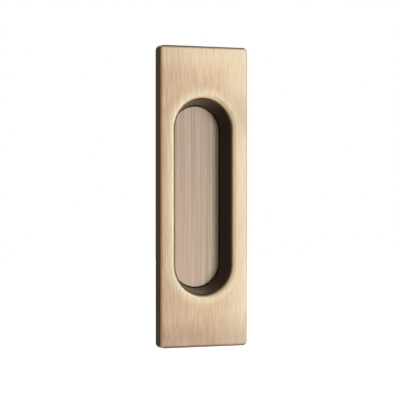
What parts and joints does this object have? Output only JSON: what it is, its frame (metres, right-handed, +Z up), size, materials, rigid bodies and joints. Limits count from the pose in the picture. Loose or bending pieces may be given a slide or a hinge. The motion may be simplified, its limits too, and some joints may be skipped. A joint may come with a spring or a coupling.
{
  "type": "sliding door handle",
  "caption": "Tall rectangular flush pull for a sliding door, with a drafted oblong finger recess, a glued cover over its fixing screws and a hollow cast back.",
  "frame": {"origin": "on the door's face, at the middle of the plate's back rim", "axes": "+Z up along the plate, +X right as seen from the room, +Y into the door; the plate faces -Y"},
  "size_m": [0.0466, 0.0306, 0.15],
  "materials": {
    "antique_brass_casting": "antique brass plate on die-cast zinc, brushed up and down on the face, left dark on the sides and in the recess",
    "brushed_brass_sheet": "stamped sheet, brushed lengthwise and lacquered",
    "adhesive_foam": "thin white foam tape",
    "plated_screw_steel": "zinc plated"
  },
  "bodies": {
    "root": {"body": "antique_brass_casting", "cover_plate": "brushed_brass_sheet", "adhesive_pad": "adhesive_foam", "upper_screw": "plated_screw_steel", "lower_screw": "plated_screw_steel"}
  },
  "joints": []
}
